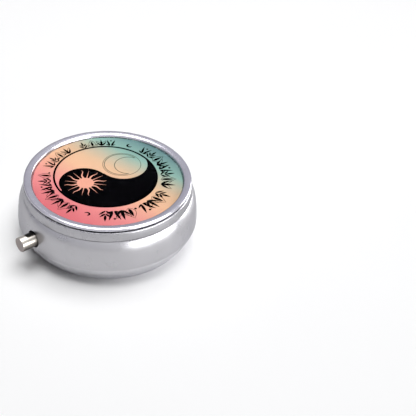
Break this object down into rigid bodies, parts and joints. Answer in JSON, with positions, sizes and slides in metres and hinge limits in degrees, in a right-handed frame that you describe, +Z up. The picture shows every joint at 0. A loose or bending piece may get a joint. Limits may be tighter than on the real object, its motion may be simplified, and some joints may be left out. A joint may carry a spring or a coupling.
{
  "type": "travel pill organizer",
  "caption": "Round pocket pill box in satin metal: low curved base with a compartment tray, hinged lid with a clear-covered print in a raised rim, and a push button at the front",
  "frame": {"origin": "centre of the flat bottom face, on the axis of the round body", "axes": "+Z up through the lid, -Y toward the push button at the front, +Y toward the hinge, +X to the right seen from the button"},
  "size_m": [0.05, 0.0542, 0.018],
  "materials": {
    "satin_nickel": "satin nickel plating on pressed sheet",
    "bottom_metal": "satin nickel plating, embossed with small dimples in the looks",
    "bezel_nickel": "semi-bright nickel plating",
    "polished_nickel": "bright nickel plating",
    "lining_metal": "bright rolled sheet",
    "zinc_steel": "zinc-plated steel",
    "spring_steel": "drawn spring wire",
    "printed_card": "printed card under the cover",
    "clear_cover": "clear domed plastic",
    "tray_plastic": "moulded white plastic"
  },
  "bodies": {
    "base": {"base_shell": "satin_nickel", "bottom_plate": "bottom_metal", "pill_tray": "tray_plastic", "latch_bracket": "zinc_steel", "bracket_rivet_1": "zinc_steel", "bracket_rivet_2": "zinc_steel", "button_guide": "zinc_steel", "button_spring": "spring_steel", "hinge_base_leaf": "zinc_steel", "hinge_pin": "zinc_steel", "hinge_spring": "spring_steel"},
    "button": {"button_plunger": "polished_nickel", "retaining_clip": "spring_steel", "latch_hook": "zinc_steel"},
    "lid": {"lid_shell": "satin_nickel", "bezel_ring": "bezel_nickel", "print_disc": "printed_card", "clear_cover": "clear_cover", "lid_liner": "lining_metal", "lid_catch": "zinc_steel", "hinge_lid_leaf": "zinc_steel", "lid_rivet_1": "zinc_steel", "lid_rivet_2": "zinc_steel", "lid_rivet_3": "zinc_steel", "lid_rivet_4": "zinc_steel"}
  },
  "joints": [
    {"name": "lid_hinge", "type": "hinge", "parent": "base", "child": "lid", "pos_m": [0, 0.023, 0.01395], "axis": [-1, 0, 0], "range_deg": [0, 105]},
    {"name": "button_press", "type": "slide", "parent": "base", "child": "button", "axis": [0, 1, 0], "range_m": [0, 0.0015], "stiffness_N_per_m": 300, "springref_m": -0.001, "deforming": ["button_spring"]}
  ]
}
